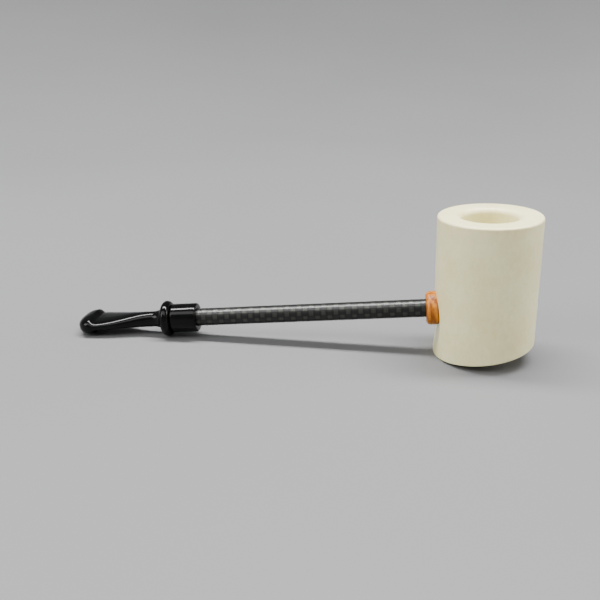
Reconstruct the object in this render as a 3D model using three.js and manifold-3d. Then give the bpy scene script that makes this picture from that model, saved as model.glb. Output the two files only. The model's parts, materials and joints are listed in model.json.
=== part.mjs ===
// Tobacco pipe: a straight-sided white bowl with a slanted heel, a wood ring, a carbon-fibre tube as
// its shank, a black ferrule and a black mouthpiece with a flare and a flat fishtail bit.
// Millimetres, +Z up, +X towards the bowl. The pipe lies as it is put down: the heel's stem-side edge
// and the rim of the flare touch z = 0, and the origin is under the middle of the whole pipe.
import * as THREE from 'three';
import { mergeVertices } from 'three/addons/utils/BufferGeometryUtils.js';
import Module from 'manifold-3d';

const wasm = await Module();
wasm.setup();

// ---- driving dimensions ----
const DEGREE = Math.PI / 180;

// Bowl, measured from the point where the shank's axis crosses the bowl's axis.
const BOWL_RADIUS = 19;
const RIM_HEIGHT = 35.4;
const HEEL_DEPTH = 16.1;
const HEEL_SLOPE = 8.8 * DEGREE;
const RIM_ROUNDING = 0.9;
const MOUTH_BEVEL_WIDTH = 2.2;
const MOUTH_BEVEL_DEPTH = 2.4;
const CHAMBER_RADIUS = 10.3;
const CHAMBER_TAPER = 1.7;
const CHAMBER_DEPTH = 38.6;
const CHAMBER_CORNER = 5;

// Cove: the shallow scoop across the stem side of the bowl, in which the ring is seated.
const COVE_DEPTH = 1.75;
const COVE_TOP = 6.7;
const COVE_LAND = 0.5;

// Shank. Places along it are distances from the bowl's axis, along the shank's own axis.
const SHANK_CANT = 3.1 * DEGREE;
const TUBE_RADIUS = 3.5;
const TUBE_BORE_RADIUS = 2.5;
const TUBE_LENGTH = 106.3;
const RING_RADIUS = 6.45;
const RING_LENGTH = 5.2;
const RING_ROUNDING = 1.3;
const RING_INSET = 2.3;
const FERRULE_RADIUS = 5.8;
const FERRULE_LENGTH = 10.5;
const FERRULE_ROUNDING = 0.7;

// Push-fit joints.
const BUSHING_RADIUS = 4.3;
const MORTISE_WALL = 1.3;
const TENON_HEAD_RADIUS = 2.9;
const TENON_GRIP = 8;
const AIRWAY_RADIUS = 1.2;
const DRAUGHT_RADIUS = 1.75;

// Mouthpiece.
const FLARE_RADIUS = 7.2;
const FLARE_EDGE = 1.9;
const FLARE_SWEEP = 4.2;
const NECK_RADIUS = 3.15;
const BIT_LENGTH = 23;
const BIT_HALF_WIDTH = 7.7;
const BIT_HALF_HEIGHT = 2.1;
const BUTTON_LENGTH = 7.4;
const BUTTON_HALF_WIDTH = 8.2;
const BUTTON_HALF_HEIGHT = 3.8;
const BUTTON_END_HALF_HEIGHT = 2.2;
const SOCKET_DEPTH = 5;
const SLOT_HALF_WIDTH = 3.5;
const SLOT_HALF_HEIGHT = 0.75;
const SLOT_LENGTH = 14;

// Clearances.
const SLIDE_GAP = 0.1;
const FACE_GAP = 0.3;

// Facets.
const BOWL_SIDES = 72;
const SHANK_SIDES = 40;
const BIT_SIDES = 40;
const ARC_STEPS = 5;

// ---- places that follow from the dimensions ----
const CHAMBER_BASE_RADIUS = CHAMBER_RADIUS - CHAMBER_TAPER;
const RING_SEAT = BOWL_RADIUS - RING_INSET;
const RING_START = RING_SEAT + FACE_GAP;
const RING_END = RING_START + RING_LENGTH;
const TUBE_START = RING_START + FACE_GAP;
const TUBE_END = TUBE_START + TUBE_LENGTH;
const FERRULE_START = TUBE_END - FERRULE_LENGTH;
const MORTISE_END = CHAMBER_BASE_RADIUS + MORTISE_WALL;
const BUSHING_START = MORTISE_END + FACE_GAP;
const BUSHING_END = RING_SEAT - FACE_GAP;
const MOUTHPIECE_START = TUBE_END + FACE_GAP;
const SOCKET_END = MOUTHPIECE_START + SOCKET_DEPTH;
const HEEL_EDGE = -HEEL_DEPTH - BOWL_RADIUS * Math.tan(HEEL_SLOPE);
const TENON_RADIUS = TUBE_BORE_RADIUS - SLIDE_GAP;
const TUBE_SLEEVE_RADIUS = TUBE_RADIUS + SLIDE_GAP;

// ---- helpers ----
const point = (radius, height) => new THREE.Vector2(radius, height);

// Points of a quarter-type arc, from one angle to another, about a centre in a profile.
function arc(centreRadius, centreHeight, radius, fromDegrees, toDegrees, steps = ARC_STEPS) {
  return Array.from({ length: steps + 1 }, (_, i) => {
    const angle = (fromDegrees + (toDegrees - fromDegrees) * i / steps) * DEGREE;
    return point(centreRadius + radius * Math.cos(angle), centreHeight + radius * Math.sin(angle));
  });
}

function merged(geometry) {
  const bare = geometry.index ? geometry.clone() : geometry;
  bare.deleteAttribute('normal');
  bare.deleteAttribute('uv');
  return mergeVertices(bare, 1e-5);
}

function solid(geometry) {
  const shape = merged(geometry);
  return new wasm.Manifold(new wasm.Mesh({
    numProp: 3,
    vertProperties: new Float32Array(shape.attributes.position.array),
    triVerts: new Uint32Array(shape.index.array),
  }));
}

function geometryOf(manifold) {
  const result = manifold.getMesh();
  const geometry = new THREE.BufferGeometry();
  geometry.setAttribute('position', new THREE.BufferAttribute(result.vertProperties, 3));
  geometry.setIndex(new THREE.BufferAttribute(result.triVerts, 1));
  return geometry;
}

// A solid turned about the bowl's axis: radius against height.
const turnedUpright = (profile) => new THREE.LatheGeometry(profile, BOWL_SIDES).rotateX(Math.PI / 2);

// A solid turned about the shank's axis: radius against distance from the bowl, which runs along -X.
const turnedAlongShank = (profile) => new THREE.LatheGeometry(profile, SHANK_SIDES).rotateZ(Math.PI / 2);

// A hollow cylinder with its four edges rounded or left sharp.
function sleeve(start, end, radius, bore, rounding = 0) {
  const outer = rounding > 0
    ? [...arc(radius - rounding, start + rounding, rounding, -90, 0),
      ...arc(radius - rounding, end - rounding, rounding, 0, 90)]
    : [point(radius, start), point(radius, end)];
  const profile = [point(bore, start), ...outer, point(bore, end)];
  return turnedAlongShank([...profile, profile[0].clone()]);
}

function rod(start, end, radius) {
  return turnedAlongShank([point(0, start), point(radius, start), point(radius, end), point(0, end)]);
}

// A closed skin through rings of points, each ring given as { at, halfWidth, halfHeight, square }.
// The ring is a superellipse: square 2 is an ellipse, and more is closer to a rectangle.
function skin(rings, sides) {
  const positions = [];
  const faces = [];
  const bend = (value, power) => Math.sign(value) * Math.abs(value) ** power;
  for (const { at, halfWidth, halfHeight, square = 2 } of rings) {
    for (let i = 0; i < sides; i += 1) {
      const angle = 2 * Math.PI * i / sides;
      const y = halfWidth * bend(Math.cos(angle), 2 / square);
      positions.push(-at, y, halfHeight * bend(Math.sin(angle), 2 / square));
    }
  }
  const first = rings.length * sides;
  positions.push(-rings[0].at, 0, 0, -rings[rings.length - 1].at, 0, 0);
  for (let i = 0; i < sides; i += 1) {
    const j = (i + 1) % sides;
    faces.push(first, i, j);
    const last = (rings.length - 1) * sides;
    faces.push(first + 1, last + j, last + i);
    for (let k = 0; k < rings.length - 1; k += 1) {
      const a = k * sides;
      const b = a + sides;
      faces.push(a + i, b + i, b + j, a + i, b + j, a + j);
    }
  }
  const geometry = new THREE.BufferGeometry();
  geometry.setAttribute('position', new THREE.Float32BufferAttribute(positions, 3));
  geometry.setIndex(faces);
  return geometry;
}

const smooth = (t) => t * t * (3 - 2 * t);
const mix = (from, to, t) => from + (to - from) * t;
const span = (steps) => Array.from({ length: steps + 1 }, (_, i) => i / steps);

function part(name, geometry, color, roughness, metalness = 0) {
  const mesh = new THREE.Mesh(geometry, new THREE.MeshStandardMaterial({ color, roughness, metalness }));
  mesh.name = name;
  return mesh;
}

// ---- bowl ----
function bowlBlank() {
  const foot = HEEL_EDGE - BOWL_RADIUS;
  return solid(turnedUpright([
    point(0, foot),
    point(BOWL_RADIUS, foot),
    ...arc(BOWL_RADIUS - RIM_ROUNDING, RIM_HEIGHT - RIM_ROUNDING, RIM_ROUNDING, 0, 90),
    point(0, RIM_HEIGHT),
  ]));
}

// Everything below the slanted heel.
function heelCut() {
  const size = 6 * BOWL_RADIUS;
  return solid(new THREE.BoxGeometry(size, size, size)
    .translate(0, 0, -size / 2)
    .rotateY(-HEEL_SLOPE)
    .translate(0, 0, -HEEL_DEPTH));
}

// The tobacco chamber: bevelled mouth, a wall that tapers a little and a rounded floor.
function chamberCut() {
  const floor = RIM_HEIGHT - CHAMBER_DEPTH;
  const clear = 1;
  const bevelSlope = MOUTH_BEVEL_WIDTH / MOUTH_BEVEL_DEPTH;
  return solid(turnedUpright([
    point(0, floor),
    ...arc(CHAMBER_BASE_RADIUS - CHAMBER_CORNER, floor + CHAMBER_CORNER, CHAMBER_CORNER, -90, 0, 8),
    point(CHAMBER_RADIUS, RIM_HEIGHT - MOUTH_BEVEL_DEPTH),
    point(CHAMBER_RADIUS + MOUTH_BEVEL_WIDTH + bevelSlope * clear, RIM_HEIGHT + clear),
    point(0, RIM_HEIGHT + clear),
  ]));
}

// A cylinder lying across the bowl, whose near side scoops out the cove.
function coveCut() {
  const foot = HEEL_EDGE + COVE_LAND;
  const chord = COVE_TOP - foot;
  const radius = chord * chord / (8 * COVE_DEPTH) + COVE_DEPTH / 2;
  const sides = 216;
  return solid(new THREE.CylinderGeometry(radius, radius, 3 * BOWL_RADIUS, sides)
    .translate(-BOWL_RADIUS + COVE_DEPTH - radius, 0, (COVE_TOP + foot) / 2));
}

// The ring's seat, the mortise for the bushing and the draught hole, all on the shank's axis.
function shankCut() {
  const outside = RING_SEAT + BOWL_RADIUS;
  const profile = [
    point(0, 0),
    point(DRAUGHT_RADIUS, 0),
    point(DRAUGHT_RADIUS, MORTISE_END),
    point(BUSHING_RADIUS + SLIDE_GAP, MORTISE_END),
    point(BUSHING_RADIUS + SLIDE_GAP, RING_SEAT),
    point(RING_RADIUS + SLIDE_GAP, RING_SEAT),
    point(RING_RADIUS + SLIDE_GAP, outside),
    point(0, outside),
  ];
  return solid(turnedAlongShank(profile).rotateY(-SHANK_CANT));
}

function bowl() {
  return geometryOf(bowlBlank()
    .subtract(heelCut())
    .subtract(chamberCut())
    .subtract(coveCut())
    .subtract(shankCut()));
}

// ---- shank ----
// The tenon between bowl and tube: a head that pushes into the bushing, and a thinner end in the tube.
function shankTenon() {
  const start = BUSHING_START + FACE_GAP;
  const shoulder = TUBE_START - FACE_GAP;
  const end = shoulder + TENON_GRIP;
  const profile = [
    point(AIRWAY_RADIUS, start),
    point(TENON_HEAD_RADIUS, start),
    point(TENON_HEAD_RADIUS, shoulder),
    point(TENON_RADIUS, shoulder),
    point(TENON_RADIUS, end),
    point(AIRWAY_RADIUS, end),
  ];
  return turnedAlongShank([...profile, profile[0].clone()]);
}

// ---- mouthpiece ----
// The rings of the flare: a flat face against the ferrule, a rounded rim and a hollow sweep to the neck.
function flareRings() {
  const middle = MOUTHPIECE_START + FLARE_EDGE;
  const sweepStart = middle + FLARE_EDGE;
  const rim = span(8).map((t) => {
    const angle = (t - 0.5) * Math.PI;
    const radius = FLARE_RADIUS - FLARE_EDGE + FLARE_EDGE * Math.cos(angle);
    return { at: middle + FLARE_EDGE * Math.sin(angle), radius };
  });
  const sweep = span(6).slice(1).map((t) => {
    const angle = t * Math.PI / 2;
    const drop = FLARE_RADIUS - FLARE_EDGE - NECK_RADIUS;
    const at = sweepStart + FLARE_SWEEP * (1 - Math.cos(angle));
    return { at, radius: NECK_RADIUS + drop * (1 - Math.sin(angle)) };
  });
  return [...rim, ...sweep].map(({ at, radius }) => ({ at, halfWidth: radius, halfHeight: radius }));
}

const NECK_AT = MOUTHPIECE_START + 2 * FLARE_EDGE + FLARE_SWEEP;
const BUTTON_START = NECK_AT + BIT_LENGTH;
const BIT_END = BUTTON_START + BUTTON_LENGTH;

// The rings of the bit: from the round neck to a wide flat fishtail.
function bitRings() {
  return span(12).slice(1).map((t) => ({
    at: NECK_AT + BIT_LENGTH * t,
    halfWidth: mix(NECK_RADIUS, BIT_HALF_WIDTH, smooth(t)),
    halfHeight: mix(NECK_RADIUS, BIT_HALF_HEIGHT, smooth(t)),
    square: mix(2, 2.6, t),
  }));
}

// The rings of the button: a lip that rises from the bit, slopes down and rounds off at the end.
function buttonRings() {
  const ridge = 0.29;
  return span(10).slice(1).map((t) => {
    const rise = smooth(Math.min(t / ridge, 1));
    const fall = Math.max((t - ridge) / (1 - ridge), 0);
    const crest = mix(BIT_HALF_HEIGHT, BUTTON_HALF_HEIGHT, rise);
    const round = Math.sqrt(1 - 0.3 * fall ** 6);
    return {
      at: BUTTON_START + BUTTON_LENGTH * t,
      halfWidth: mix(BIT_HALF_WIDTH, BUTTON_HALF_WIDTH, rise) * Math.sqrt(1 - 0.6 * fall ** 2) * round,
      halfHeight: mix(crest, BUTTON_END_HALF_HEIGHT, fall ** 2.2) * round,
      square: 2.6,
    };
  });
}

// The smoke channel: round through the neck, opening into a wide slot at the end of the bit.
function channelCut() {
  const slotStart = BIT_END - SLOT_LENGTH;
  const clear = 1;
  const round = { halfWidth: AIRWAY_RADIUS, halfHeight: AIRWAY_RADIUS };
  const widening = span(6).map((t) => ({
    at: slotStart + SLOT_LENGTH * t,
    halfWidth: mix(AIRWAY_RADIUS, SLOT_HALF_WIDTH, smooth(t)),
    halfHeight: mix(AIRWAY_RADIUS, SLOT_HALF_HEIGHT, smooth(t)),
  }));
  const out = { at: BIT_END + clear, halfWidth: SLOT_HALF_WIDTH, halfHeight: SLOT_HALF_HEIGHT };
  return solid(skin([{ at: SOCKET_END - clear, ...round }, ...widening, out], BIT_SIDES / 2));
}

function mouthpiece() {
  const clear = 1;
  return geometryOf(solid(skin([...flareRings(), ...bitRings(), ...buttonRings()], BIT_SIDES))
    .subtract(solid(rod(MOUTHPIECE_START - clear, SOCKET_END, TENON_RADIUS + SLIDE_GAP)))
    .subtract(channelCut()));
}

function mouthpieceTenon() {
  const start = TUBE_END - TENON_GRIP;
  return sleeve(start, SOCKET_END - FACE_GAP, TENON_RADIUS, AIRWAY_RADIUS);
}

// ---- assembly ----
const BLACK = 0x0b0b0c;
const WHITE_PLASTIC = 0xe9e6df;

const shank = new THREE.Group();
shank.rotation.y = -SHANK_CANT;
shank.add(
  part('bowl_bushing', sleeve(BUSHING_START, BUSHING_END, BUSHING_RADIUS, TENON_HEAD_RADIUS + SLIDE_GAP),
    WHITE_PLASTIC, 0.5),
  part('shank_tenon', shankTenon(), WHITE_PLASTIC, 0.45),
  part('wood_ring', sleeve(RING_START, RING_END, RING_RADIUS, TUBE_SLEEVE_RADIUS, RING_ROUNDING),
    0xc87a3a, 0.45),
  part('carbon_tube', sleeve(TUBE_START, TUBE_END, TUBE_RADIUS, TUBE_BORE_RADIUS), 0x23241f, 0.25),
  part('ferrule', sleeve(FERRULE_START, TUBE_END, FERRULE_RADIUS, TUBE_SLEEVE_RADIUS, FERRULE_ROUNDING),
    BLACK, 0.15),
  part('mouthpiece_tenon', mouthpieceTenon(), WHITE_PLASTIC, 0.45),
  part('mouthpiece', mouthpiece(), BLACK, 0.15),
);

const pipe = new THREE.Group();
pipe.add(part('bowl', bowl(), 0xf1efdf, 0.4), shank);

// The pipe tips about the heel's stem-side edge until the mouthpiece is down, here on its flare's rim.
const heelEdge = { x: -BOWL_RADIUS, z: HEEL_EDGE };
const restSlopes = [...flareRings(), ...bitRings(), ...buttonRings()].map(({ at, halfHeight }) => {
  const x = -at * Math.cos(SHANK_CANT) + halfHeight * Math.sin(SHANK_CANT);
  const z = -at * Math.sin(SHANK_CANT) - halfHeight * Math.cos(SHANK_CANT);
  return (heelEdge.z - z) / (heelEdge.x - x);
});
pipe.rotation.y = Math.atan(Math.max(...restSlopes));

const object = new THREE.Group();
object.add(pipe);
object.updateMatrixWorld(true);
const box = new THREE.Box3().setFromObject(pipe, true);
pipe.position.set(-(box.min.x + box.max.x) / 2, 0, -box.min.z);

export default object;
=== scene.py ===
"""The looks of a tobacco pipe: white mineral bowl, wood ring, carbon-fibre shank and black mouthpiece.

Every piece is built in one of two spaces and then put in its place. In bowl space +Z runs up the
bowl's axis. In shank space +X runs out along the shank, away from the bowl. Both start where the two
axes cross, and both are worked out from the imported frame.
"""

import json
import math

import bmesh
import bpy
from mathutils import Matrix, Vector
from mathutils.geometry import intersect_line_line


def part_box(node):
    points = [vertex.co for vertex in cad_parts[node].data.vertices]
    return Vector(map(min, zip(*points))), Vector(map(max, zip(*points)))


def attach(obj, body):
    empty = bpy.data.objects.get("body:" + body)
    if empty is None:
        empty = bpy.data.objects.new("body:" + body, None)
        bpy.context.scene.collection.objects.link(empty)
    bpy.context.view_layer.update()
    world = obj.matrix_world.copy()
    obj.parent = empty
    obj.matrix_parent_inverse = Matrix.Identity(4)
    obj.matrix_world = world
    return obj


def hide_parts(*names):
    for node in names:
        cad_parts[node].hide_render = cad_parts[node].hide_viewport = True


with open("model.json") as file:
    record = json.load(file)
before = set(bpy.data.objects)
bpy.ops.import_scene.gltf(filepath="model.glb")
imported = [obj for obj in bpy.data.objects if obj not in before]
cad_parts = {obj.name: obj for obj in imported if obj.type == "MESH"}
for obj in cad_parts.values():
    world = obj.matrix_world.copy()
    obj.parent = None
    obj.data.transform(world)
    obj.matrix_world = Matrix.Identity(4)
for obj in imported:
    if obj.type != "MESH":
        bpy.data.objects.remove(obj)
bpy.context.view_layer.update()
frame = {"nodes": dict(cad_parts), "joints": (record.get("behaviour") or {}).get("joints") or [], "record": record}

MM = 0.001
QUARTER = math.pi / 2
TURN = 2 * math.pi
CORNER_STEPS = 8
MOUTH_STEPS = 12
SWEEP_STEPS = 16
RIM_STEPS = 24


# ---- where the frame puts the two axes ----
def space(origin, x_axis, y_axis, z_axis):
    """The matrix that takes a point of a space to the frame."""
    columns = Matrix((x_axis, y_axis, z_axis)).transposed().to_4x4()
    return Matrix.Translation(origin) @ columns


MOUNTS = {mount["name"]: mount for mount in frame["record"]["mounts"]}
JOINTS = {joint["name"]: joint for joint in frame["joints"]}
ACROSS = Vector((0, 1, 0))
BOWL_UP = Vector(MOUNTS["rim_face"]["axis"]).normalized()
SHANK_OUT = Vector(JOINTS["shank_turn"]["axis"]).normalized()
SHANK_POINT = Vector(JOINTS["shank_turn"]["pos_m"])
HEEL_POINT = Vector(MOUNTS["heel_face"]["pos_m"])
HEEL_NORMAL = Vector(MOUNTS["heel_face"]["axis"]).normalized()
CROSSING = intersect_line_line(HEEL_POINT, HEEL_POINT + BOWL_UP,
                               SHANK_POINT, SHANK_POINT + SHANK_OUT)[0]
BOWL_SPACE = space(CROSSING, ACROSS.cross(BOWL_UP), ACROSS, BOWL_UP)
SHANK_SPACE = space(CROSSING, SHANK_OUT, -ACROSS, SHANK_OUT.cross(-ACROSS))


def stretch(node):
    """Where a CAD node starts and ends along the shank, and its largest radius about it."""
    back = SHANK_SPACE.inverted()
    points = [back @ vertex.co for vertex in frame["nodes"][node].data.vertices]
    along = [point.x for point in points]
    return min(along), max(along), max(math.hypot(point.y, point.z) for point in points)


# ---- meshes ----
def arc(centre, radii, start, end, steps):
    """Points of an elliptical arc, as (along, radius) pairs, with its angles in quarter turns."""
    points = []
    for step in range(steps + 1):
        angle = QUARTER * (start + (end - start) * step / steps)
        points.append((centre[0] + radii[0] * math.sin(angle), centre[1] + radii[1] * math.cos(angle)))
    return points


def loft(rings, closed):
    """Vertices and faces through rings of equal length. A closed loft joins its last ring to its first,
    and an open one is capped at both ends."""
    count = len(rings[0])
    vertices = [point for ring in rings for point in ring]
    spans = len(rings) if closed else len(rings) - 1
    faces = []
    for span in range(spans):
        low, high = span * count, (span + 1) % len(rings) * count
        for side in range(count):
            following = (side + 1) % count
            faces.append((low + side, low + following, high + following, high + side))
    if not closed:
        faces.append(tuple(reversed(range(count))))
        faces.append(tuple(range(len(vertices) - count, len(vertices))))
    return vertices, faces


def oval(along, half_width, half_height, square, sides):
    """A ring of points across the shank: an ellipse at square 2, and nearer to a rectangle above it."""
    def bent(value):
        return math.copysign(abs(value) ** (2 / square), value)

    angles = [TURN * side / sides for side in range(sides)]
    return [(along, half_width * bent(math.cos(a)), half_height * bent(math.sin(a))) for a in angles]


def turned(profile, sides, closed=True):
    """A solid turned about +X from a profile of (along, radius) pairs."""
    return loft([oval(along, radius, radius, 2, sides) for along, radius in profile], closed)


def new_piece(name, vertices, faces, place, material, crease=30):
    """An object with its place in its mesh, its faces pointing out and its edges sharp past a crease."""
    mesh = bpy.data.meshes.new(name)
    mesh.from_pydata([tuple(vertex) for vertex in vertices], [], faces)
    mesh.transform(place)
    piece = bpy.data.objects.new(name, mesh)
    bpy.context.scene.collection.objects.link(piece)
    finish_mesh(piece, material, crease)
    return piece


def finish_mesh(piece, material, crease):
    """Merges doubles, turns the faces out, and sets the shading and the material."""
    shape = bmesh.new()
    shape.from_mesh(piece.data)
    bmesh.ops.remove_doubles(shape, verts=shape.verts, dist=1e-7)
    bmesh.ops.recalc_face_normals(shape, faces=shape.faces)
    shape.to_mesh(piece.data)
    shape.free()
    piece.data.shade_smooth()
    piece.data.set_sharp_from_angle(angle=math.radians(crease))
    piece.data.materials.clear()
    piece.data.materials.append(material)


def settle(piece):
    """Makes the modified shape the piece's own mesh and removes the modifiers."""
    shown = piece.evaluated_get(bpy.context.evaluated_depsgraph_get())
    mesh = bpy.data.meshes.new_from_object(shown)
    piece.modifiers.clear()
    piece.data = mesh


def carve(piece, cutter):
    """Cuts one solid out of another and removes the cutter."""
    cut = piece.modifiers.new("cut", "BOOLEAN")
    cut.operation = "DIFFERENCE"
    cut.solver = "EXACT"
    cut.object = cutter
    settle(piece)
    bpy.data.objects.remove(cutter)


def declare(piece, body, slot, *nodes):
    """Puts the piece on the body it rides on and hides the CAD nodes it stands for; the slot is not used."""
    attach(piece, body)
    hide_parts(*nodes)


# ---- node trees ----
class Wire:
    """A node's output. Maths on wires adds the Math nodes that work it out."""

    def __init__(self, graph, socket):
        self.graph = graph
        self.socket = socket

    def output(self, name):
        """Another output of the same node."""
        return Wire(self.graph, self.socket.node.outputs[name])

    def __add__(self, other):
        return self.graph.maths("ADD", self, other)

    def __sub__(self, other):
        return self.graph.maths("SUBTRACT", self, other)

    def __rsub__(self, other):
        return self.graph.maths("SUBTRACT", other, self)

    def __mul__(self, other):
        return self.graph.maths("MULTIPLY", self, other)

    def __truediv__(self, other):
        return self.graph.maths("DIVIDE", self, other)

    def __pow__(self, other):
        return self.graph.maths("POWER", self, other)

    def __mod__(self, other):
        return self.graph.maths("FLOORED_MODULO", self, other)

    def __gt__(self, other):
        return self.graph.maths("GREATER_THAN", self, other)

    __radd__ = __add__
    __rmul__ = __mul__


class Graph:
    """A node tree, with one method that adds any node."""

    def __init__(self, tree):
        self.tree = tree

    def add(self, kind, settings=None, inputs=None, output=0):
        """Adds a node: its settings first, then the values or wires of its inputs."""
        node = self.tree.nodes.new(kind)
        for name, value in (settings or {}).items():
            if name == "stops":
                self.set_stops(node.color_ramp, value)
            else:
                setattr(node, name, value)
        for key, value in (inputs or {}).items():
            self.feed(node.inputs[key], value)
        return Wire(self, node.outputs[output]) if node.outputs else node

    def set_stops(self, ramp, stops):
        """The stops of a colour ramp, each a place and a colour."""
        while len(ramp.elements) < len(stops):
            ramp.elements.new(1)
        for element, (place, colour) in zip(ramp.elements, stops):
            element.position = place
            element.color = (*colour, 1)

    def feed(self, socket, value):
        """Links a wire to an input, several wires to a multi-input, or sets a plain value."""
        if isinstance(value, list):
            for wire in value:
                self.tree.links.new(wire.socket, socket)
        elif isinstance(value, Wire):
            self.tree.links.new(value.socket, socket)
        else:
            socket.default_value = value

    def maths(self, operation, *values):
        """A Math node."""
        return self.add("ShaderNodeMath", {"operation": operation}, dict(enumerate(values)))

    def noise(self, vector, scale, detail, roughness=0.5):
        """The grey value of a noise texture."""
        values = {"Vector": vector, "Scale": scale, "Detail": detail, "Roughness": roughness}
        return self.add("ShaderNodeTexNoise", None, values)

    def ramp(self, value, stops):
        """A colour ramp."""
        return self.add("ShaderNodeValToRGB", {"stops": stops}, {"Fac": value})

    def blend(self, factor, first, second):
        """Mixes two colours."""
        return self.add("ShaderNodeMix", {"data_type": "RGBA"}, {0: factor, 6: first, 7: second}, 2)


def colour(red, green, blue):
    """A colour as a socket takes it."""
    return (red, green, blue, 1)


class Finish(Graph):
    """A material with one main shader."""

    def __init__(self, name, **values):
        self.material = bpy.data.materials.new(name)
        self.material.use_nodes = True
        super().__init__(self.material.node_tree)
        self.shader = self.tree.nodes["Principled BSDF"]
        self.set(**values)

    def set(self, **values):
        """Sets or links the main shader's inputs, named with underscores for spaces."""
        for name, value in values.items():
            self.feed(self.shader.inputs[name.replace("_", " ")], value)

    def place(self, matrix=None, scale=(1, 1, 1)):
        """Object coordinates, taken back to bowl space or shank space, and scaled."""
        here = self.add("ShaderNodeTexCoord", output="Object")
        if matrix:
            settings = {"vector_type": "TEXTURE"}
            values = {"Vector": here, "Location": matrix.translation, "Rotation": matrix.to_euler()}
            here = self.add("ShaderNodeMapping", settings, values)
        return self.add("ShaderNodeMapping", None, {"Vector": here, "Scale": scale})

    def bump(self, height, strength, distance):
        """Gives the surface a fine relief."""
        values = {"Strength": strength, "Distance": distance, "Height": height}
        self.set(Normal=self.add("ShaderNodeBump", None, values))


# ---- finishes ----
def mineral_finish():
    """Turned and waxed white mineral: faint clouds, a few pores and very fine turning lines."""
    finish = Finish("waxed_white_mineral", Specular_IOR_Level=0.5, Coat_Roughness=0.22,
                    Subsurface_Weight=0.12, Subsurface_Scale=0.002)
    here = finish.place(BOWL_SPACE)
    clouds = finish.noise(here, 70, 5, 0.55)
    flecks = finish.noise(finish.place(BOWL_SPACE, (1, 1, 0.6)), 620, 4, 0.6)
    tint = finish.ramp(clouds * 0.6 + flecks * 0.4,
                       [(0.36, (0.80, 0.72, 0.365)), (0.64, (0.89, 0.845, 0.50))])
    pores = finish.noise(here, 2600, 2, 0.5) > 0.69
    finish.set(Base_Color=finish.blend(pores * 0.45, tint, colour(0.46, 0.39, 0.22)))
    finish.set(Roughness=0.24 + flecks * 0.24, Coat_Weight=0.25 - pores * 0.2)
    turning = finish.noise(finish.place(BOWL_SPACE, (40, 40, 9000)), 1, 2)
    finish.bump(turning * 0.5 + flecks - pores * 1.5, 0.25, 0.02 * MM)
    return finish.material


def wood_finish():
    """Oiled orange-brown wood, its grain running up through the ring."""
    finish = Finish("oiled_ring_wood", Specular_IOR_Level=0.25, Coat_Roughness=0.3)
    here = finish.place(SHANK_SPACE, (1, 1, 0.16))
    figure = finish.noise(here, 620, 6, 0.62)
    tint = finish.ramp(figure, [(0.28, (0.09, 0.017, 0.002)), (0.45, (0.34, 0.095, 0.007)),
                                (0.60, (0.58, 0.200, 0.014)), (0.80, (0.78, 0.320, 0.028))])
    fibres = finish.noise(finish.place(SHANK_SPACE, (1, 1, 0.07)), 5200, 3, 0.6)
    pores = fibres > 0.66
    finish.set(Base_Color=finish.blend(pores * 0.6, tint, colour(0.09, 0.025, 0.006)))
    finish.set(Roughness=0.30 + fibres * 0.25, Coat_Weight=0.1 - pores * 0.08)
    finish.bump(figure * 0.4 - pores * 0.6, 0.3, 0.05 * MM)
    return finish.material


CROWN_POWER = 4
FLOAT_SAG = 0.35


def weave(along, angle, pitch, tows):
    """A plain weave round the tube. Gives 1 where a hoop tow is on top and 0 where an axial one is,
    and the height of the tow on top, from 0 in the grooves to 1 on its crown."""
    column = along / pitch
    row = angle * (tows / TURN)
    graph = along.graph
    hoop_on_top = (graph.maths("FLOOR", column) + graph.maths("FLOOR", row)) % 2
    from_middle = [graph.maths("ABSOLUTE", value % 1 - 0.5) * 2 for value in (column, row)]
    crowns = [1 - value ** CROWN_POWER for value in from_middle]
    floats = [1 - value ** 2 * FLOAT_SAG for value in from_middle]
    hoop = crowns[0] * floats[1]
    axial = crowns[1] * floats[0]
    return hoop_on_top, axial + (hoop - axial) * hoop_on_top


def carbon_finish(pitch, tows):
    """Woven carbon under clear resin: hoop tows are more metallic than axial ones, and their lighter colour is a
    painted sheen; every tow is painted darker from its crown into the grooves as painted shade.
    """
    finish = Finish("woven_carbon", Specular_IOR_Level=0.35, Coat_Weight=0.2, Coat_Roughness=0.2)
    here = finish.place(SHANK_SPACE)
    parts = finish.add("ShaderNodeSeparateXYZ", None, {0: here})
    angle = finish.maths("ARCTAN2", parts.output("Z"), parts.output("Y"))
    hoop_on_top, height = weave(parts.output("X"), angle, pitch, tows)
    strands = finish.noise(finish.place(SHANK_SPACE, (200, 9000, 9000)), 1, 2)
    hoops = finish.noise(finish.place(SHANK_SPACE, (9000, 300, 300)), 1, 2)
    # painted shade: each tow's colour runs darker from its crown down into the grooves between tows
    axial_tint_groove_shaded = finish.ramp(strands * height,
                             [(0.1, (0.002, 0.002, 0.002)), (0.8, (0.012, 0.012, 0.011))])
    hoop_sheen_tint_groove_shaded = finish.ramp(hoops * height,
                            [(0.1, (0.006, 0.006, 0.005)), (0.7, (0.055, 0.057, 0.049))])
    # painted sheen: the hoop tows' lighter colour stands in for their broad reflection
    finish.set(Base_Color=finish.blend(hoop_on_top, axial_tint_groove_shaded, hoop_sheen_tint_groove_shaded))
    finish.set(Roughness=0.42 - hoop_on_top * 0.06, Metallic=0.30 + hoop_on_top * 0.30)
    finish.bump(height + strands * 0.2, 0.25, 0.03 * MM)
    return finish.material


def black_finish():
    """Polished black acrylic with the faintest haze and hairlines from handling."""
    finish = Finish("polished_black_acrylic", Specular_IOR_Level=0.15)
    haze = finish.noise(finish.place(SHANK_SPACE), 240, 5, 0.6)
    hairlines = finish.noise(finish.place(SHANK_SPACE, (60, 3200, 3200)), 1, 3)
    blacks = [(0.3, (0.0012, 0.0012, 0.0012)), (0.8, (0.0035, 0.0035, 0.0035))]
    finish.set(Base_Color=finish.ramp(haze, blacks))
    finish.set(Roughness=0.05 + haze * 0.12)
    finish.bump(hairlines, 0.05, 0.01 * MM)
    return finish.material


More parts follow.
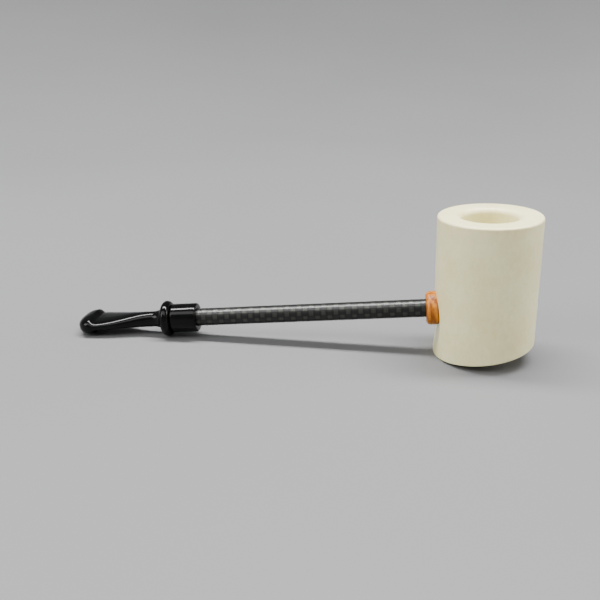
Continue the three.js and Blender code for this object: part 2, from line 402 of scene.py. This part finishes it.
def plastic_finish():
    """White slippery plastic with the rings that a lathe leaves."""
    finish = Finish("turned_white_plastic", Specular_IOR_Level=0.4, Subsurface_Weight=0.08,
                    Subsurface_Scale=0.001)
    rings = finish.noise(finish.place(SHANK_SPACE, (5200, 60, 60)), 1, 2)
    clouds = finish.noise(finish.place(SHANK_SPACE), 300, 3)
    finish.set(Base_Color=finish.ramp(clouds, [(0.3, (0.76, 0.75, 0.71)), (0.7, (0.84, 0.83, 0.80))]))
    finish.set(Roughness=0.38 + rings * 0.2)
    finish.bump(rings, 0.2, 0.02 * MM)
    return finish.material


# ---- bowl ----
RIM_HEIGHT = 35.4 * MM
BOWL_RADIUS = (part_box("bowl")[1].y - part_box("bowl")[0].y) / 2
RIM_ROUNDING = 0.9 * MM
MOUTH_WIDTH = 2.2 * MM
MOUTH_DEPTH = 2.4 * MM
CHAMBER_RADIUS = 10.3 * MM
CHAMBER_BASE_RADIUS = 8.6 * MM
CHAMBER_FLOOR = -3.2 * MM
CHAMBER_CORNER = 5 * MM
COVE_DEPTH = 1.75 * MM
COVE_TOP = 6.7 * MM
COVE_LAND = 0.5 * MM
DRAUGHT_RADIUS = 1.75 * MM
SEAT_GAP = 0.3 * MM
SIDE_GAP = 0.1 * MM
BOWL_SIDES = 256
CUTTER_SIDES = 96
EDGE_BREAK = 0.18 * MM
EDGE_ANGLE = 40
BOWL_CREASE = 22
AXIS_CLEARANCE = 1e-5 * MM
STANDING = Matrix.Rotation(-QUARTER, 4, "Y")


def bowl_profile():
    """Half of the bowl's section, from the axis under the heel round to the chamber's floor."""
    rim_centre = (RIM_HEIGHT - RIM_ROUNDING, BOWL_RADIUS - RIM_ROUNDING)
    rim = arc(rim_centre, (RIM_ROUNDING, RIM_ROUNDING), 0, 1, CORNER_STEPS)
    mouth_edge = CHAMBER_RADIUS + MOUTH_WIDTH
    mouth = arc((RIM_HEIGHT - MOUTH_DEPTH, mouth_edge), (MOUTH_DEPTH, -MOUTH_WIDTH), 1, 0, MOUTH_STEPS)
    corner_centre = (CHAMBER_FLOOR + CHAMBER_CORNER, CHAMBER_BASE_RADIUS - CHAMBER_CORNER)
    corner = arc(corner_centre, (-CHAMBER_CORNER, CHAMBER_CORNER), 0, 1, MOUTH_STEPS)
    blank_foot = -2 * BOWL_RADIUS
    return [(blank_foot, AXIS_CLEARANCE), (blank_foot, BOWL_RADIUS), *rim, *mouth, *corner,
            (CHAMBER_FLOOR, AXIS_CLEARANCE)]


def heel_cutter(material):
    """A slab whose upper face is the slanted heel."""
    size = 6 * BOWL_RADIUS
    tilt = HEEL_NORMAL.to_track_quat("Z", "Y").to_matrix().to_4x4()
    outline = ((-size, -size), (size, -size), (size, size), (-size, size))
    corners = [(x, y, z) for z in (0, size) for x, y in outline]
    faces = [(0, 3, 2, 1), (4, 5, 6, 7), (0, 1, 5, 4), (1, 2, 6, 5), (2, 3, 7, 6), (3, 0, 4, 7)]
    return new_piece("heel_cutter", corners, faces, Matrix.Translation(HEEL_POINT) @ tilt, material)


def heel_edge():
    """The height in bowl space of the heel's edge on the stem side."""
    back = BOWL_SPACE.inverted()
    normal = back.to_3x3() @ HEEL_NORMAL
    return (back @ HEEL_POINT).z + normal.x * BOWL_RADIUS / normal.z


def cove_cutter(material):
    """A roller lying across the stem side of the bowl."""
    foot = heel_edge() + COVE_LAND
    chord = COVE_TOP - foot
    radius = chord * chord / (8 * COVE_DEPTH) + COVE_DEPTH / 2
    reach = 2 * BOWL_RADIUS
    across = Matrix.Rotation(QUARTER, 4, "Z")
    lie = Matrix.Translation((-BOWL_RADIUS + COVE_DEPTH - radius, 0, (COVE_TOP + foot) / 2))
    roller = turned([(-reach, radius), (reach, radius)], 4 * CUTTER_SIDES, closed=False)
    return new_piece("cove_cutter", *roller, BOWL_SPACE @ lie @ across, material)


def shank_cutter(material):
    """The ring's seat, the mortise and the draught hole in one stepped bar."""
    ring_start, _, ring_radius = stretch("wood_ring")
    bushing_start, _, bushing_radius = stretch("bowl_bushing")
    seat = ring_start - SEAT_GAP
    mortise = bushing_start - SEAT_GAP
    profile = [(0, DRAUGHT_RADIUS), (mortise, DRAUGHT_RADIUS), (mortise, bushing_radius + SIDE_GAP),
               (seat, bushing_radius + SIDE_GAP), (seat, ring_radius + SIDE_GAP),
               (2 * BOWL_RADIUS, ring_radius + SIDE_GAP)]
    return new_piece("shank_cutter", *turned(profile, CUTTER_SIDES, closed=False), SHANK_SPACE, material)


def make_bowl(material):
    """The bowl, with its edges broken as a maker's paper leaves them."""
    blank = turned(bowl_profile(), BOWL_SIDES, closed=False)
    bowl = new_piece("mineral_bowl", *blank, BOWL_SPACE @ STANDING, material)
    for cutter in (heel_cutter, cove_cutter, shank_cutter):
        carve(bowl, cutter(material))
    edges = bowl.modifiers.new("broken_edges", "BEVEL")
    edges.width = EDGE_BREAK
    edges.segments = 2
    edges.limit_method = "ANGLE"
    edges.angle_limit = math.radians(EDGE_ANGLE)
    settle(bowl)
    finish_mesh(bowl, material, BOWL_CREASE)
    normals = bowl.modifiers.new("even_shading", "WEIGHTED_NORMAL")
    normals.keep_sharp = True
    settle(bowl)
    declare(bowl, "bowl_group", "bowl_mineral", "bowl")


# ---- shank ----
SHANK_SIDES = 128
TUBE_BORE = 2.5 * MM
TENON_BORE = 1.2 * MM
BUSHING_BORE = 3.0 * MM
TUBE_SLEEVE_BORE = 3.6 * MM
PLASTIC_ROUNDING = 0.3 * MM
BORE_CHAMFER = 0.15 * MM
RING_ROUNDING = 1.5 * MM
FERRULE_ROUNDING = 0.7 * MM
TOW_PITCH = 2.42 * MM
TOWS_ROUND = 12
TOW_RELIEF = 0.035 * MM
STEPS_PER_TOW = 8
FADES_PER_TOW = 4
TUBE_CREASE = 40


def sleeve_profile(start, end, radius, bore, rounding):
    """A closed section of a sleeve: rounded outside, and chamfered at the ends of its bore."""
    near = arc((start + rounding, radius - rounding), (-rounding, rounding), 1, 0, CORNER_STEPS)
    far = arc((end - rounding, radius - rounding), (rounding, rounding), 0, 1, CORNER_STEPS)
    mouths = [(end, bore + BORE_CHAMFER), (end - BORE_CHAMFER, bore),
              (start + BORE_CHAMFER, bore), (start, bore + BORE_CHAMFER)]
    return [*near, *far, *mouths]


def make_sleeve(name, node, rounding, bore, body, slot, material):
    """A turned sleeve that stands for a CAD node along the shank."""
    start, end, radius = stretch(node)
    profile = sleeve_profile(start, end, radius, bore, rounding)
    piece = new_piece(name, *turned(profile, SHANK_SIDES), SHANK_SPACE, material)
    declare(piece, body, slot, node)


def make_shank_peg(material):
    """The tenon that joins tube and bowl: a thick end, a shoulder and a thinner end."""
    start, end, head = stretch("shank_tenon")
    shoulder = stretch("carbon_tube")[0] - SEAT_GAP
    shaft = TUBE_BORE - SIDE_GAP
    profile = [(start, TENON_BORE), (start, head - PLASTIC_ROUNDING), (start + PLASTIC_ROUNDING, head),
               (shoulder, head), (shoulder, shaft), (end - PLASTIC_ROUNDING, shaft),
               (end, shaft - PLASTIC_ROUNDING), (end, TENON_BORE)]
    piece = new_piece("shank_peg", *turned(profile, SHANK_SIDES), SHANK_SPACE, material)
    declare(piece, "shank_plug", "white_plastic", "shank_tenon")


def tube_tree():
    """Node tree for the woven tube: four turned skins, joined, the outer one with the weave raised."""
    tree = bpy.data.node_groups.new("woven_tube", "GeometryNodeTree")
    sizes = ("Start", "End", "Radius", "Bore", "Tow Pitch", "Tows Round", "Relief")
    for name in sizes:
        tree.interface.new_socket(name, in_out="INPUT", socket_type="NodeSocketFloat")
    for name in ("Steps Along", "Steps Round"):
        tree.interface.new_socket(name, in_out="INPUT", socket_type="NodeSocketInt")
    tree.interface.new_socket("Material", in_out="INPUT", socket_type="NodeSocketMaterial")
    tree.interface.new_socket("Geometry", in_out="OUTPUT", socket_type="NodeSocketGeometry")
    graph = Graph(tree)
    given = graph.add("NodeGroupInput").output
    start, end, outer, bore = given("Start"), given("End"), given("Radius"), given("Bore")

    def skin(steps_along, from_along, to_along, from_radius, to_radius, raised=False):
        """One turned skin: a flat grid rolled round the axis."""
        counts = {"Size X": 1, "Size Y": 1, "Vertices X": steps_along + 1,
                  "Vertices Y": given("Steps Round") + 1}
        grid = graph.add("GeometryNodeMeshGrid", None, counts)
        flat = graph.add("ShaderNodeSeparateXYZ", None, {0: graph.add("GeometryNodeInputPosition")})
        portion = flat.output("X") + 0.5
        angle = (flat.output("Y") + 0.5) * TURN
        along = from_along + (to_along - from_along) * portion
        radius = from_radius + (to_radius - from_radius) * portion
        if raised:
            height = weave(along, angle, given("Tow Pitch"), given("Tows Round"))[1]
            from_end = graph.maths("MINIMUM", along - start, end - along) / given("Tow Pitch")
            fade = graph.maths("MINIMUM", from_end * FADES_PER_TOW, 1)
            radius = radius - given("Relief") * (1 - height) * fade
        place = {"X": along, "Y": radius * graph.maths("COSINE", angle),
                 "Z": radius * graph.maths("SINE", angle)}
        rolled = graph.add("ShaderNodeCombineXYZ", None, place)
        return graph.add("GeometryNodeSetPosition", None, {"Geometry": grid, "Position": rolled})

    skins = [skin(given("Steps Along"), start, end, outer, outer, raised=True),
             skin(1, end, end, outer, bore),
             skin(1, end, start, bore, bore),
             skin(1, start, start, bore, outer)]
    joined = graph.add("GeometryNodeJoinGeometry", None, {0: skins})
    merged = graph.add("GeometryNodeMergeByDistance", None, {"Geometry": joined, "Distance": 1e-6})
    real = graph.add("GeometryNodeRealizeInstances", None, {0: merged})
    done = graph.add("GeometryNodeSetMaterial", None, {"Geometry": real, "Material": given("Material")})
    graph.add("NodeGroupOutput", None, {0: done})
    return tree


def make_tube():
    """The carbon tube, its weave standing a little proud of the grooves between tows."""
    start, end, radius = stretch("carbon_tube")
    values = {"Start": start, "End": end, "Radius": radius, "Bore": TUBE_BORE, "Tow Pitch": TOW_PITCH,
              "Tows Round": TOWS_ROUND, "Relief": TOW_RELIEF,
              "Steps Along": round((end - start) / TOW_PITCH * STEPS_PER_TOW),
              "Steps Round": TOWS_ROUND * STEPS_PER_TOW,
              "Material": carbon_finish(TOW_PITCH, TOWS_ROUND)}
    tube = bpy.data.objects.new("woven_carbon_tube", bpy.data.meshes.new("woven_carbon_tube"))
    bpy.context.scene.collection.objects.link(tube)
    modifier = tube.modifiers.new("weave", "NODES")
    modifier.node_group = tube_tree()
    for item in modifier.node_group.interface.items_tree:
        if item.in_out == "INPUT":
            modifier[item.identifier] = values[item.name]
    settle(tube)
    tube.data.transform(SHANK_SPACE)
    finish_mesh(tube, values["Material"], TUBE_CREASE)
    declare(tube, "shank_group", "carbon_fibre", "carbon_tube")


# ---- mouthpiece ----
FLARE_RADIUS = 7.2 * MM
FLARE_EDGE = 1.9 * MM
FLARE_SWEEP = 4.2 * MM
NECK_RADIUS = 3.15 * MM
BIT_LENGTH = 23 * MM
BIT_HALF_WIDTH = 7.7 * MM
BIT_HALF_HEIGHT = 2.1 * MM
BUTTON_HALF_WIDTH = 8.2 * MM
BUTTON_HALF_HEIGHT = 3.8 * MM
BUTTON_END_HALF_HEIGHT = 2.2 * MM
BUTTON_RIDGE = 0.29
BUTTON_SQUARENESS = 2.6
BUTTON_TAPER = 0.6
BUTTON_SLOPE_POWER = 2.2
BUTTON_END_ROUND = 0.3
BUTTON_END_POWER = 6
SOCKET_DEPTH = 5 * MM
SOCKET_CHAMFER = 0.3 * MM
SLOT_HALF_WIDTH = 3.5 * MM
SLOT_HALF_HEIGHT = 0.75 * MM
SLOT_LENGTH = 14 * MM
BIT_SIDES = 128
BIT_STEPS = 60
BUTTON_STEPS = 48
SLOT_STEPS = 24
MOUTHPIECE_CREASE = 35


def mix(start, end, portion):
    """A value between two others."""
    return start + (end - start) * portion


def smooth(portion):
    """Eases a portion from 0 to 1 in and out."""
    return portion * portion * (3 - 2 * portion)


def portions(steps):
    """Even portions after 0, up to 1."""
    return [step / steps for step in range(1, steps + 1)]


def flare_rings(start):
    """The rounded rim of the flare and the hollow sweep down to the neck, as (along, radius) pairs."""
    middle = start + FLARE_EDGE
    sweep_drop = FLARE_RADIUS - FLARE_EDGE - NECK_RADIUS
    rim = arc((middle, FLARE_RADIUS - FLARE_EDGE), (FLARE_EDGE, FLARE_EDGE), -1, 1, RIM_STEPS)
    sweep_centre = (middle + FLARE_EDGE + FLARE_SWEEP, NECK_RADIUS + sweep_drop)
    sweep = arc(sweep_centre, (-FLARE_SWEEP, -sweep_drop), 1, 0, SWEEP_STEPS)
    return rim + sweep[1:]


def bit_ring(neck, portion):
    """A ring of the bit, from the round neck to the wide flat fishtail."""
    eased = smooth(portion)
    width = mix(NECK_RADIUS, BIT_HALF_WIDTH, eased)
    height = mix(NECK_RADIUS, BIT_HALF_HEIGHT, eased)
    squareness = mix(2, BUTTON_SQUARENESS, portion)
    return oval(neck + BIT_LENGTH * portion, width, height, squareness, BIT_SIDES)


def button_ring(start, length, portion):
    """A ring of the button: a lip that rises from the bit, slopes down and rounds off at the end."""
    rise = smooth(min(portion / BUTTON_RIDGE, 1))
    fall = max((portion - BUTTON_RIDGE) / (1 - BUTTON_RIDGE), 0)
    end_round = math.sqrt(1 - BUTTON_END_ROUND * fall ** BUTTON_END_POWER)
    crest = mix(BIT_HALF_HEIGHT, BUTTON_HALF_HEIGHT, rise)
    taper = math.sqrt(1 - BUTTON_TAPER * fall ** 2)
    width = mix(BIT_HALF_WIDTH, BUTTON_HALF_WIDTH, rise) * taper * end_round
    height = mix(crest, BUTTON_END_HALF_HEIGHT, fall ** BUTTON_SLOPE_POWER) * end_round
    return oval(start + length * portion, width, height, BUTTON_SQUARENESS, BIT_SIDES)


def channel_ring(end, portion):
    """A ring of the smoke channel, from its wide slot at the end back to the round airway."""
    opened = smooth(1 - portion)
    width = mix(TENON_BORE, SLOT_HALF_WIDTH, opened)
    height = mix(TENON_BORE, SLOT_HALF_HEIGHT, opened)
    return oval(end - SLOT_LENGTH * portion, width, height, 2, BIT_SIDES)


def make_mouthpiece(material):
    """One closed skin: out over the flare and the bit, and back through the slot, airway and socket."""
    start, end, _ = stretch("mouthpiece")
    neck = start + 2 * FLARE_EDGE + FLARE_SWEEP
    button_start = neck + BIT_LENGTH
    button_length = end - button_start
    socket_end = start + SOCKET_DEPTH
    rings = [oval(along, radius, radius, 2, BIT_SIDES) for along, radius in flare_rings(start)]
    rings += [bit_ring(neck, portion) for portion in portions(BIT_STEPS)]
    rings += [button_ring(button_start, button_length, portion) for portion in portions(BUTTON_STEPS)]
    rings += [channel_ring(end, portion) for portion in [0, *portions(SLOT_STEPS)]]
    inner = [(socket_end, TENON_BORE), (socket_end, TUBE_BORE), (start + SOCKET_CHAMFER, TUBE_BORE),
             (start, TUBE_BORE + SOCKET_CHAMFER)]
    rings += [oval(along, radius, radius, 2, BIT_SIDES) for along, radius in inner]
    skin = loft(rings, closed=True)
    piece = new_piece("fishtail_mouthpiece", *skin, SHANK_SPACE, material, MOUTHPIECE_CREASE)
    declare(piece, "mouthpiece_group", "black_acrylic", "mouthpiece")


# ---- stage, light and camera ----
def make_floor():
    """A pale sweep: flat under the pipe and curving up gently all round it."""
    flat = 0.45
    rise = 1.9
    sides = 96
    profile = [(0, 1e-4), (0, flat), *arc((rise, flat), (-rise, rise), 1, 0.5, SWEEP_STEPS)[1:]]
    mesh = bpy.data.meshes.new("floor")
    vertices, faces = loft([oval(along, radius, radius, 2, sides) for along, radius in profile], False)
    mesh.from_pydata(vertices, [], faces[:-1])
    mesh.transform(STANDING)
    mesh.shade_smooth()
    floor = bpy.data.objects.new("floor", mesh)
    bpy.context.scene.collection.objects.link(floor)
    finish = Finish("pale_floor", Roughness=0.62, Specular_IOR_Level=0.3)
    clouds = finish.noise(finish.place(), 4, 3)
    greys = [(0.2, (0.138, 0.138, 0.140)), (0.8, (0.152, 0.152, 0.154))]
    finish.set(Base_Color=finish.ramp(clouds, greys))
    mesh.materials.append(finish.material)


def make_light(name, place, aim, size, power):
    """A soft rectangular light that faces a point."""
    lamp = bpy.data.lights.new(name, "AREA")
    lamp.shape = "RECTANGLE"
    lamp.size, lamp.size_y = size
    lamp.energy = power
    light = bpy.data.objects.new(name, lamp)
    light.location = place
    light.rotation_euler = (Vector(aim) - Vector(place)).to_track_quat("-Z", "Y").to_euler()
    bpy.context.scene.collection.objects.link(light)


def make_lights():
    """A strip overhead, soft lights from the front and the left, and a weak one from the right."""
    middle = (0, 0, 0.02)
    make_light("overhead_strip", (0.0, 0.20, 1.50), middle, (2.0, 0.26), 105)
    make_light("front_soft", (-0.1, -0.80, 1.28), middle, (1.8, 0.60), 16)
    make_light("left_soft", (-1.5, -0.9, 1.1), middle, (0.9, 0.9), 22)
    make_light("right_soft", (1.2, 0.15, 0.6), middle, (0.5, 0.5), 8)
    world = bpy.data.worlds.new("studio")
    world.use_nodes = True
    background = world.node_tree.nodes["Background"]
    background.inputs["Color"].default_value = colour(0.9, 0.95, 1.0)
    background.inputs["Strength"].default_value = 0.15
    bpy.context.scene.world = world


CAMERA_AIM = Vector((-0.0001, 0, 0.0182))
CAMERA_DISTANCE = 0.2757
CAMERA_HEADING = math.radians(-6.67)
CAMERA_ELEVATION = math.radians(21.24)
CAMERA_ROLL = math.radians(0.59)
CAMERA_LENS = 42
CAMERA_SENSOR = 36


def make_camera():
    """The camera, a little towards the bowl from square on and looking slightly down."""
    camera = bpy.data.objects.new("camera", bpy.data.cameras.new("camera"))
    camera.data.lens = CAMERA_LENS
    camera.data.sensor_width = CAMERA_SENSOR
    level = math.cos(CAMERA_ELEVATION)
    towards = Vector((math.sin(CAMERA_HEADING) * level, math.cos(CAMERA_HEADING) * level,
                      -math.sin(CAMERA_ELEVATION)))
    turn = towards.to_track_quat("-Z", "Y").to_matrix().to_4x4() @ Matrix.Rotation(CAMERA_ROLL, 4, "Z")
    camera.matrix_world = Matrix.Translation(CAMERA_AIM - towards * CAMERA_DISTANCE) @ turn
    bpy.context.scene.collection.objects.link(camera)
    bpy.context.scene.camera = camera


make_camera()
make_lights()
make_floor()

mineral = mineral_finish()
wood = wood_finish()
black = black_finish()
plastic = plastic_finish()

make_bowl(mineral)
make_sleeve("mortise_bushing", "bowl_bushing", PLASTIC_ROUNDING, BUSHING_BORE, "bowl_group",
            "white_plastic", plastic)
make_shank_peg(plastic)
make_sleeve("turned_wood_ring", "wood_ring", RING_ROUNDING, TUBE_SLEEVE_BORE, "shank_group",
            "ring_wood", wood)
make_tube()
make_sleeve("black_ferrule", "ferrule", FERRULE_ROUNDING, TUBE_SLEEVE_BORE, "shank_group",
            "black_acrylic", black)
make_sleeve("mouthpiece_peg", "mouthpiece_tenon", PLASTIC_ROUNDING, TENON_BORE, "mouthpiece_plug",
            "white_plastic", plastic)
make_mouthpiece(black)
